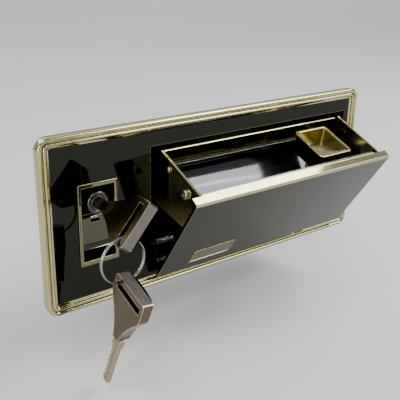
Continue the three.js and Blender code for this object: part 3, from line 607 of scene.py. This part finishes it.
def face_plate():
    """Sheet with two rolled beads and a cove round its edge, a pocket hole and the hopper's opening."""
    profile = [
        (0.25, 0.0), (0.0, 0.25), (0.0, 3.2),
        *arc(1.4, 3.55, 1.35, 178, 12, 16),
        (2.8, 3.52), (3.05, 3.52),
        *arc(4.05, 3.7, 0.98, 172, 8, 13),
        (5.1, 3.62), (5.25, 3.42), (5.5, 3.24), (5.9, 3.09), (6.45, 3.0),
    ]
    bm = bmesh.new()
    loops = []
    for inset, height in profile:
        radius = max(PLATE_R - inset, 0.6)
        a, b = PLATE_A - inset, PLATE_B - inset
        loops.append([
            bm.verts.new(Vector((x, -height, z)) * MM) for x, z in rounded(-a, a, -b, b, radius, 12)
        ])
    bridge(bm, loops)
    o = OPENING
    notch_left, notch_right = o["left"] + o["notch"], o["right"] - o["notch"]
    opening = [
        (o["left"], o["low"]), (notch_left, o["low"]), (notch_left, o["bottom"]),
        (notch_right, o["bottom"]), (notch_right, o["low"]), (o["right"], o["low"]),
        (o["right"], o["top"]), (o["left"], o["top"]),
    ]
    x0, x1, z0, z1 = POCKET_HOLE
    pocket = [(x0, z0), (x1, z0), (x1, z1), (x0, z1)]
    front, back = [loops[-1]], [loops[0]]
    for hole in (opening, pocket):
        near = [bm.verts.new(Vector((x, FACE_Y, z)) * MM) for x, z in hole]
        far = [bm.verts.new(Vector((x, 0, z)) * MM) for x, z in hole]
        bridge(bm, [near, far])
        front.append(near)
        back.append(far)
    cap(bm, front)
    cap(bm, back)
    plate = make("moulded_plate", bm, "gold_mirror", bevel=0.28, segments=3, angle=60)
    flat_a, flat_b = PLATE_A - MOULDING, PLATE_B - MOULDING
    # Painted light on one plating: the flats keep the near-black painted-dark gold and the moulding gets
    # the bright bead gold as a painted highlight.
    tint(plate, "gold_bead_painted_lit", lambda c, n: abs(c.x) > flat_a or abs(c.z) > flat_b)
    stand_for(plate, "plate", "face_plate")


def pocket_frame():
    """Raised frame with a softly rounded section."""
    outer, inner = (-96.5, -72.5, -25.1, 21.9), (-94.5, -74.8, -22.5, 19.5)
    section = [
        (0, -3.1), (0, -3.62), (0.06, -3.8), (0.2, -3.93), (0.36, -3.99), (0.62, -4.0), (0.8, -3.97),
        (0.93, -3.88), (1.0, -3.72), (1.0, -3.1),
    ]
    bm = bmesh.new()
    loops = []
    for t, y in section:
        a0, a1, b0, b1 = (o + (i - o) * t for o, i in zip(outer, inner))
        radius = 0.85 * (1 - t) + 0.12
        loops.append([bm.verts.new(Vector((x, y, z)) * MM) for x, z in rounded(a0, a1, b0, b1, radius, 6)])
    bridge(bm, loops)
    bridge(bm, [loops[-1], loops[0]])
    stand_for(make("pocket_frame", bm, "gold_trim", angle=40), "plate", "pocket_bezel")


# ------------------------------------------------------------------ lock
LOCK = (-84.8, 10.2)
THREAD_DEPTH, THREAD_STEP, THREAD_TURNS = 0.22, 0.35, 42
JOINED = 1e-7


def lock_parts():
    thread = [(5.6 - THREAD_DEPTH * (i % 2), 8.8 + THREAD_STEP * i) for i in range(THREAD_TURNS)]
    # The barrel and plug take the near-black nickel, painted shade of the pocket.
    bm = lathe(bmesh.new(), [
        (4.3, -4.2), (4.45, -4.36), (4.6, -4.4), (5.3, -4.4), (5.7, -4.34), (6.05, -4.15),
        (6.28, -3.85), (6.4, -3.5), (6.4, 1.2), (6.25, 1.35), (6.25, 1.75), (6.4, 1.9), (6.4, 6.9),
        (5.6, 6.9), (5.6, 8.6), *thread, (5.6, 23.7), (5.3, 24.0), (4.3, 24.0), (4.3, -4.2),
    ], LOCK, 64)
    bmesh.ops.remove_doubles(bm, verts=bm.verts, dist=JOINED)
    stand_for(make("lock_barrel", bm, "lock_nickel", angle=38), "plate", "lock_cylinder")

    bm = lathe(bmesh.new(), [
        (0, -4.3), (1.6, -4.3), (1.75, -4.26), (3.7, -4.26), (3.85, -4.3), (4.0, -4.22),
        (4.15, -4.05), (4.15, 24.2), (2.6, 24.2), (2.6, 26.15), (0, 26.15),
    ], LOCK, 56)
    plug = make("keyed_plug", bm, "lock_nickel", angle=38)
    turn = Matrix.Translation(Vector((LOCK[0], 0, LOCK[1])) * MM) @ Matrix.Rotation(KEY_ANGLE, 4, "Y")
    keyway = prism(bmesh.new(), rounded(-1.25, 1.25, -3.1, 3.1, 0.35, 4), "Y", -6, 22.9)
    boolean(plug, make("keyway", keyway, "lock_nickel", turn))
    bore = lathe(bmesh.new(), [(0, 24.4), (1.15, 24.4), (1.15, 28), (0, 28)], LOCK, 24)
    boolean(plug, make("screw_bore", bore, "lock_nickel"))
    rework(plug, 0.06, 2, 38)
    stand_for(plug, "lock_plug", "lock_plug")


# ------------------------------------------------------------------ keys, in the CAD's key frame
KEY_ANGLE = math.radians(40)
KEY_END = -45.0
KEY = dict(
    head=34.1, half=13.5, flat=-3.0, edge=2.6, crown=4.6, slot_offset=5.3, slot_half=11.3,
    slot_width=3.6, slot_corner=1.2, collar=6.0, collar_half=3.3, collar_thick=1.5, blade=27.6,
    blade_half=2.8, blade_thick=0.9,
)
KEY_CUTS = [(4.5, 1.0), (8.0, 1.7), (11.5, 0.7), (15.0, 1.4), (18.5, 0.9), (22.0, 1.6)]
CROWN_STEPS = 8


def smooth_line(points, steps):
    """Catmull-Rom curve through points."""
    out = []
    last = len(points) - 1
    for i in range(last):
        p0, p1, p2, p3 = (Vector(points[max(0, min(last, i + k))]) for k in (-1, 0, 1, 2))
        for s in range(steps):
            t = s / steps
            square = (2 * p0 - 5 * p1 + 4 * p2 - p3) * t * t
            cube = (3 * p1 - p0 - 3 * p2 + p3) * t ** 3
            out.append(0.5 * (2 * p1 + (p2 - p0) * t + square + cube))
    out.append(Vector(points[last]))
    return [tuple(p) for p in out]


def key_side():
    """One flank of the bow, from its free end to the neck, as (half width, distance along the key)."""
    h = KEY["half"]
    corner = [(h - 1.7, 0.02), (h - 0.9, 0.16), (h - 0.35, 0.6), (h - 0.06, 1.3)]
    flank = smooth_line([
        (h - 0.02, 2.2), (h, 6.5), (h - 0.1, 10.2), (h - 0.75, 12.5), (h - 2.6, 15.1),
        (8.6, 18.5), (6.2, 22.7), (4.4, 27.1), (3.1, 31), (2.72, 33.6),
    ], 5)
    return corner + flank + [(2.5, KEY["head"])]


def key_place(axes, origin):
    """Matrix from the key frame (X off the flat side, Y along the key, Z across the bow)."""
    x, y, z = (Vector(a) for a in axes)
    turn = Matrix((x, y, z)).transposed().to_4x4()
    return Matrix.Translation(Vector(origin) * MM) @ turn


def key_head(name, matrix):
    """Slotted bow, flat on one side and crowned on the other."""
    k = KEY
    side = key_side()
    outline = side + [(-w, s) for w, s in reversed(side)]
    bm = bmesh.new()

    def height(w):
        return k["edge"] + (k["crown"] - k["edge"]) * (1 - (w / (k["half"] + 1)) ** 2)

    def vertex(x, s, w):
        return bm.verts.new(Vector((x, s, w)) * MM)

    low = [vertex(k["flat"], s, w) for w, s in outline]
    high = [vertex(height(w), s, w) for w, s in outline]
    bridge(bm, [low, high])
    bm.faces.new(low)
    for i in range(len(side) - 1):
        rows = []
        for index in (i, i + 1):
            w, s = outline[index]
            across = [w - 2 * w * t / CROWN_STEPS for t in range(1, CROWN_STEPS)]
            inner = [vertex(height(a), s, a) for a in across]
            rows.append([high[index], *inner, high[2 * len(side) - 1 - index]])
        for t in range(CROWN_STEPS):
            bm.faces.new((rows[0][t], rows[0][t + 1], rows[1][t + 1], rows[1][t]))
    bmesh.ops.remove_doubles(bm, verts=bm.verts, dist=JOINED)
    head = make(name, bm, "bronze_satin")
    near, far = k["slot_offset"] - k["slot_width"] / 2, k["slot_offset"] + k["slot_width"] / 2
    slot = rounded(near, far, -k["slot_half"], k["slot_half"], k["slot_corner"])
    boolean(head, make("slot", prism(bmesh.new(), slot, "X", -6, 8), "bronze_satin"))
    deep, open_end = k["head"] - 7, k["head"] + 2
    socket = [(deep, -2.1), (open_end, -2.1), (open_end, 2.1), (deep, 2.1)]
    boolean(head, make("socket", prism(bmesh.new(), socket, "X", -1.1, 1.1), "bronze_satin"))
    rework(head, 0.55, 3, 38, 0.2)
    tint(head, "key_end", lambda c, n: n.y < -0.9 and c.y < 1)
    head.data.transform(matrix)
    return head


def key_blade(name, matrix):
    """Grooved and cut blade with its collar, and a tang that fills the bow's socket."""
    k = KEY
    start = k["head"] + k["collar"]
    tip = start + k["blade"]
    half, thick = k["blade_half"], k["blade_thick"]
    teeth = []
    for offset, depth in KEY_CUTS:
        s = start + offset
        teeth += [(s - 1.4, half), (s - 0.4, half - depth), (s + 0.4, half - depth), (s + 1.4, half)]
    outline = [
        (start - 1, -half), (tip - 1.7, -half), (tip - 1.2, -half + 0.15), (tip - 0.15, -0.95),
        (tip, -0.5), (tip, 0.3), (tip - 0.15, 0.75), (tip - 1.6, half - 0.2), (tip - 2.1, half),
        *reversed(teeth), (start - 1, half),
    ]
    blade = make(name, prism(bmesh.new(), outline, "X", -thick, thick), "key_nickel")
    for low, high, side in ((-1.1, 0.1, 1), (0.7, 1.2, 1), (-0.6, 0.5, -1)):
        depth = 0.45 if high - low > 0.6 else 0.2
        a, b = sorted((side * (thick - depth), side * 3))
        run = [(start + 0.4, low), (tip + 1, low), (tip + 1, high), (start + 0.4, high)]
        boolean(blade, make("groove", prism(bmesh.new(), run, "X", a, b), "key_nickel"))
    collar = rounded(k["head"] + 0.15, start, -k["collar_half"], k["collar_half"], 0.7, 5)
    wide = k["collar_thick"]
    boolean(blade, make("collar", prism(bmesh.new(), collar, "X", -wide, wide), "key_nickel"), "UNION")
    deep, top = k["head"] - 6.6, k["head"] + 1.2
    tang = [(deep, -1.8), (top, -1.8), (top, 1.8), (deep, 1.8)]
    boolean(blade, make("tang", prism(bmesh.new(), tang, "X", -0.8, 0.8), "key_nickel"), "UNION")
    rework(blade, 0.14, 2, 35, 0.2)
    blade.data.transform(matrix)
    return blade


def first_key():
    """The key in the lock, turned with the plug."""
    sin, cos = math.sin(KEY_ANGLE), math.cos(KEY_ANGLE)
    place = key_place(((cos, 0, -sin), (0, 1, 0), (sin, 0, cos)), (LOCK[0], KEY_END, LOCK[1]))
    stand_for(key_head("key_1_bow", place), "inserted_key", "key_1_head")
    stand_for(key_blade("key_1_shank", place), "inserted_key", "key_1_blade")


RING = dict(x=-91.6, y=-39.7, z=-7.5, radius=12.3, wire=0.46, lift=0.48, cross_over=0.5, points=240)
WIRE_FROM_END, WIRE_FROM_MIDDLE = 4.95, 9.85


def hanging_key():
    """The spare key hangs from the lowest point of the ring."""
    length = Vector((-0.096, 0.316, -0.944)).normalized()
    flat = Vector((0.995, 0.002, -0.1)).normalized()
    width = flat.cross(length).normalized()
    flat = length.cross(width)
    hook = Vector((RING["x"], RING["y"], RING["z"] - RING["radius"]))
    origin = hook - length * WIRE_FROM_END - width * WIRE_FROM_MIDDLE
    place = key_place((flat, length, width), origin)
    stand_for(key_head("key_2_bow", place), "spare_key", "key_2_head")
    stand_for(key_blade("key_2_shank", place), "spare_key", "key_2_blade")


def key_ring():
    """Split ring: two turns side by side, which cross over once."""
    r = RING
    total = 4 * math.pi - r["cross_over"]
    points = []
    for i in range(r["points"] + 1):
        turned = total * i / r["points"]
        climb = max(0.0, min(1.0, (turned - 2 * math.pi + r["cross_over"]) / r["cross_over"]))
        climb = climb * climb * (3 - 2 * climb)
        t = math.pi / 4 + turned
        points.append((
            r["x"] + r["radius"] * math.cos(t), r["y"] + r["lift"] * (2 * climb - 1),
            r["z"] + r["radius"] * math.sin(t),
        ))
    wire = sweep(bmesh.new(), points, r["wire"], 14)
    stand_for(make("two_turn_ring", wire, "ring_steel", angle=50), "key_ring", "split_ring")


COIL_STEPS = 28


def coil(name, y, z, radius, wire, low, high, turns, body, node):
    """Helical spring along X."""
    count = turns * COIL_STEPS
    points = []
    for i in range(count + 1):
        t = 2 * math.pi * turns * i / count
        points.append((
            low + (high - low) * i / count, y + radius * math.cos(t), z + radius * math.sin(t),
        ))
    obj = make(name, sweep(bmesh.new(), points, wire, 10), "plain_steel", angle=50)
    return stand_for(obj, body, node)


# ------------------------------------------------------------------ hopper, drawn closed and turned open
TRAY = dict(
    left=-42.9, right=96.1, front=0.6, back=39.6, middle=17, rim_front=33.6, rim_back=27.2, floor=1.0,
    crease=14.1, front_drop=2,
)
SHELL_SHEET, LINER_SHEET, LINER_GAP = 1, 0.9, 0.3
TRAY_STEPS = 22


def tray_line(back, front, floor, high):
    """Two quarter ellipses that meet at the trough's lowest line."""
    middle = TRAY["middle"]
    quarter = [math.pi / 2 * i / TRAY_STEPS for i in range(TRAY_STEPS + 1)]
    rear = [
        (middle + (back - middle) * math.cos(t), high - (high - floor) * math.sin(t)) for t in quarter
    ]
    rise = high - TRAY["front_drop"] - floor
    fore = [
        (middle + (front - middle) * math.sin(t), floor + rise * (1 - math.cos(t))) for t in quarter[1:]
    ]
    return rear + fore


def sheet_line(near, thick, rear_top, front_top):
    """Closed outline of a sheet that lies near millimetres inside the trough's outer line."""
    t = TRAY
    sides = []
    for inset in (near, near + thick):
        line = tray_line(t["back"] - inset, t["front"] + inset, t["floor"] + inset, t["crease"])
        start = [(t["back"] - inset, rear_top)] if rear_top else []
        sides.append(start + line + [(t["front"] + inset, front_top)])
    return sides[0] + sides[1][::-1]


def tray():
    t = TRAY
    line = sheet_line(0, SHELL_SHEET, t["rim_back"], t["rim_front"])
    bm = prism(bmesh.new(), line, "X", t["left"], t["right"])
    stand_for(make("tray_outer", bm, "gold_sheet", OPENED, 0.2, 2, 40), "hopper", "tray_shell")
    line = sheet_line(SHELL_SHEET + LINER_GAP, LINER_SHEET, None, t["rim_front"] - 0.4)
    bm = prism(bmesh.new(), line, "X", t["left"] + LINER_GAP, t["right"] - LINER_GAP)
    stand_for(make("tray_inner", bm, "black_nickel", OPENED, 0.16, 2, 40), "hopper", "tray_liner")


CUP = dict(x=67, y=20.1, z=30.8, width=28, length=27.2, depth=13, draft=2.5, tilt=-0.187)
CUP_PLACE = (
    OPENED
    @ Matrix.Translation(Vector((CUP["x"], CUP["y"], CUP["z"])) * MM)
    @ Matrix.Rotation(CUP["tilt"], 4, "X")
)
REST = dict(
    back=8.6, low=-11, knee=-8.5, knee_height=-4.8, front=-10.8, top=-1.9, inset=2.2, ribs=7, rib=1.3,
)


def cup():
    """Pressed tub: rolled rim, round corners, a notch in its left rim, and outer walls in the near-black
    plate gold as painted shade below the rim.
    """
    half_w, half_l, depth = CUP["width"] / 2, CUP["length"] / 2, CUP["depth"]
    bm = bmesh.new()

    def ring(inset, height, lean, radius):
        end = half_l - inset - CUP["draft"] * lean
        outline = rounded(-half_w + inset, half_w - inset, -end, end, radius, 8)
        return [bm.verts.new(Vector((x, y, height)) * MM) for x, y in outline]

    inner = [
        ring(inset, height, lean, max(2.6 - inset * 0.35, 1.4))
        for inset, height, lean in (
            (1.0, -0.9, 0.06), (0.35, -0.9, 0), (0.1, -0.78, 0), (0.0, -0.5, 0), (0.05, -0.25, 0),
            (0.22, -0.06, 0), (0.5, 0.0, 0), (1.1, 0.0, 0), (1.5, -0.1, 0), (1.78, -0.34, 0),
            (1.9, -0.8, 0), (1.92, 2.4 - depth, 0.81), (2.1, 1.6 - depth, 0.87),
            (2.5, 1.1 - depth, 0.92), (3.2, 0.9 - depth, 0.95),
        )
    ]
    bridge(bm, inner)
    bm.faces.new(inner[-1])
    outer = [
        ring(inset, height, lean, 2.2)
        for inset, height, lean in ((1.0, 1.4 - depth, 0.89), (1.35, 0.4 - depth, 0.97), (2.3, -depth, 1.0))
    ]
    bridge(bm, [inner[0], outer[0]])
    bridge(bm, outer)
    bm.faces.new(outer[-1])
    tub = make("square_cup", bm, "cup_brass", angle=50)
    notch = prism(bmesh.new(), rounded(-half_w - 3, -half_w + 2.6, -11, 0.5, 1.0, 5), "Z", -1.2, 2)
    boolean(tub, make("notch", notch, "cup_brass"))
    rework(tub, 0, 2, 50, 0.01)
    tub.data.materials.clear()
    tub.data.materials.append(MATERIALS["cup_brass"])

    def is_outer_wall(c, n):
        outside = abs(c.x) > half_w - 1.2 or abs(c.y) > (half_l - 3.8) * 1.02
        outward = n.x * c.x + n.y * c.y > 0 or c.z < 0.45 - depth
        return c.z < -0.95 and outside and outward

    # Painted shade: the outer walls take the near-black painted-dark gold.
    tint(tub, "gold_mirror", is_outer_wall)
    tub.data.transform(CUP_PLACE)
    stand_for(tub, "hopper", "snuff_cup")


def cup_rest():
    """Sloping rest inside the cup, with a comb of short ribs along its front edge."""
    r = REST
    half = CUP["width"] / 2 - r["inset"]
    front, top = r["front"], r["top"]
    line = smooth_line([
        (r["back"], r["low"]), (4, -9.5), (-1, -7.7), (-5.5, -5.9), (r["knee"], r["knee_height"]),
        (-9.7, -3.4), (front, top),
    ], 4)
    under = [
        (front, top - 1.3), (-9.9, -4.6), (r["knee"], r["knee_height"] - 1.2), (r["back"], r["low"] - 0.8),
    ]
    ramp = make("ribbed_ramp", prism(bmesh.new(), line + under, "X", -half, half), "rest_brass", angle=40)
    pitch = 2 * half / r["ribs"]
    bar = [
        (front, top - 0.2), (front, top + 0.55), (front + 0.25, top + 0.8), (front + 0.6, top + 0.7),
        (-9.4, -2.9), (-8.4, -4.1), (-7.2, -5.1), (-7.4, -5.6),
    ]
    for i in range(r["ribs"]):
        x = -half + pitch * (i + 0.5) - r["rib"] / 2
        boolean(ramp, make("bar", prism(bmesh.new(), bar, "X", x, x + r["rib"]), "rest_brass"), "UNION")
    rework(ramp, 0.12, 2, 40, 0.2)
    ramp.data.transform(CUP_PLACE)
    stand_for(ramp, "hopper", "cup_rest")


MIRROR = Matrix.Translation((56 * MM, 0, 0)) @ Matrix.Diagonal((-1, 1, 1, 1))
SCREW_SEAT, SCREW_END = -44.9, -43.35


def cheek_screw(name, node, mirror, y, z, head, height, shank, cross):
    """Domed screw head with its shank; cross is half the width of its drive, or 0 for a plain pin."""
    out = SCREW_SEAT - height
    bm = lathe(bmesh.new(), [
        (0, out), (head * 0.45, out + 0.02), (head * 0.78, out + 0.14), (head * 0.94, out + 0.34),
        (head, out + 0.62), (head, SCREW_SEAT - 0.12), (head - 0.12, SCREW_SEAT), (shank, SCREW_SEAT),
        (shank, SCREW_END), (0, SCREW_END),
    ], (y, z), 40, "X")
    screw = make(name, bm, "plain_steel", angle=40)
    if cross:
        for a, b in ((cross, 0.3), (0.3, cross)):
            bar = [(y - a, z - b), (y + a, z - b), (y + a, z + b), (y - a, z + b)]
            boolean(screw, make("drive", prism(bmesh.new(), bar, "X", out - 1, out + 0.8), "plain_steel"))
    rework(screw, 0.07, 2, 42, 0.05)
    if mirror:
        screw.data.transform(MIRROR)
        screw.data.flip_normals()
    screw.data.transform(OPENED)
    stand_for(screw, "hopper", node)


def screws():
    for side, mirror in (("left", False), ("right", True)):
        cheek_screw(f"pan_screw_{side}", f"cheek_screw_{side}_front", mirror, 9.6, 24.8, 2.9, 1.7, 1.3, 1.8)
        cheek_screw(f"pin_screw_{side}", f"cheek_screw_{side}_rear", mirror, 28.1, 24, 1.7, 0.9, 0.8, 0)


def bushes():
    for side, mirror in (("left", False), ("right", True)):
        bm = lathe(bmesh.new(), [
            (1.65, -43.1), (1.85, -43.38), (2.8, -43.4), (3.0, -43.2), (3.0, -41.2), (2.8, -41.05),
            (2.8, -40.8), (3.0, -40.65), (3.0, -38.8), (2.8, -38.6), (1.85, -38.6), (1.65, -38.85),
            (1.65, -43.1),
        ], PIVOT, 48, "X")
        bmesh.ops.remove_doubles(bm, verts=bm.verts, dist=JOINED)
        bush = make(f"flanged_bush_{side}", bm, "turned_brass", angle=38)
        if mirror:
            bush.data.transform(MIRROR)
            bush.data.flip_normals()
        stand_for(bush, "plate", f"pivot_bush_{side}")


PADDLE = dict(y=1.6, z=0.6, roll=1.6, bore=0.95, left=-93.3, right=-76)


def paddle():
    """Finger plate with a rolled top edge and a flared lip."""
    p = PADDLE
    y, z, bore = p["y"], p["z"], p["bore"]
    outline = [
        (y - 1.5, z - 0.5), (0.1, -2.5), (0.1, -12.4), (-0.02, -13.6), (-0.35, -14.9), (-0.85, -15.9),
        (-1.42, -16.72), (-1.3, -16.8), (-0.3, -16.78), (0.25, -16.1), (0.95, -15.2), (1.45, -14.1),
        (1.68, -12.9), (1.7, -2.5), (y + 0.6, z - 1.4), *arc(y, z, p["roll"], -65, 199, 26),
    ]
    plate = make("rolled_paddle", prism(bmesh.new(), outline, "X", p["left"], p["right"]), "gold_olive")
    hole = lathe(bmesh.new(), [(0, -96), (bore, -96), (bore, -70), (0, -70)], (y, z), 28, "X")
    boolean(plate, make("bore", hole, "gold_mirror"))
    gap = prism(bmesh.new(), [(-2, -1.8), (6, -1.8), (6, 4), (-2, 4)], "X", -87.6, -82)
    boolean(plate, make("gap", gap, "gold_mirror"))
    rework(plate, 0.16, 2, 38, 0.1)
    stand_for(plate, "paddle", "finger_paddle")


face_plate()
pocket_frame()
lock_parts()
first_key()
hanging_key()
key_ring()
return_coil = coil("return_coil", 5, -27, 2.05, 0.36, -43.2, -31.1, 8, "bolt", "bolt_spring")
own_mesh(return_coil)
coil("paddle_coil", 1.6, 0.6, 1.2, 0.22, -87.3, -82.3, 7, "plate", "paddle_spring")
coil("tilt_coil", PIVOT[0], PIVOT[1], 2.4, 0.5, -38, -25.9, 8, "plate", "tilt_spring")
tray()
cup()
cup_rest()
screws()
bushes()
paddle()

# ------------------------------------------------------------------ carried-over CAD nodes
BEVEL = 0.15
BEVELS = {
    "flap": 0.22, "flap_badge": 0.08, "pocket_cup": 0.25, "cheek_left": 0.16, "cheek_right": 0.16,
    "cup_foot": 0.3, "hinge_arm_left": 0.2, "hinge_arm_right": 0.2, "hinge_bracket_left": 0.2,
    "hinge_bracket_right": 0.2, "lock_nut": 0.35, "lock_cam": 0.2, "cam_screw": 0.08,
    "bolt_carrier": 0.2, "bolt_rod": 0.12, "bolt_guide": 0.3,
}
# pocket_cup takes the near-black painted shade of its recess; the flap takes the near-black painted-dark
# gold.
PAINT = {
    "pocket_cup": "pocket_painted_shade", "cheek_left": "cheek_gold", "cheek_right": "cheek_gold",
    "cup_foot": "cup_brass", "flap": "gold_mirror", "flap_badge": "gold_trim",
}
# The flap's bevels take the bright bead gold as a painted highlight along its edges; the cheeks' bevels
# take it too.
TRIM = {
    "flap": "gold_bead_painted_lit", "flap_badge": "gold_trim", "cheek_left": "gold_bead_painted_lit", "cheek_right": "gold_bead_painted_lit",
}
FLAP_UP = OPENED.to_3x3() @ Vector((0, 0, 1))
for name, node in nodes.items():
    if node.hide_render:
        continue
    node.data.materials.clear()
    node.data.materials.append(MATERIALS[PAINT.get(name, slots[name])])
    # Painted highlight: the flap's upward-facing faces take the bright bead gold.
    if name == "flap":
        tint(node, "gold_bead_painted_lit", lambda c, n: n.dot(FLAP_UP) > 0.4)
    soften(node, BEVELS.get(name, BEVEL), TRIM.get(name))
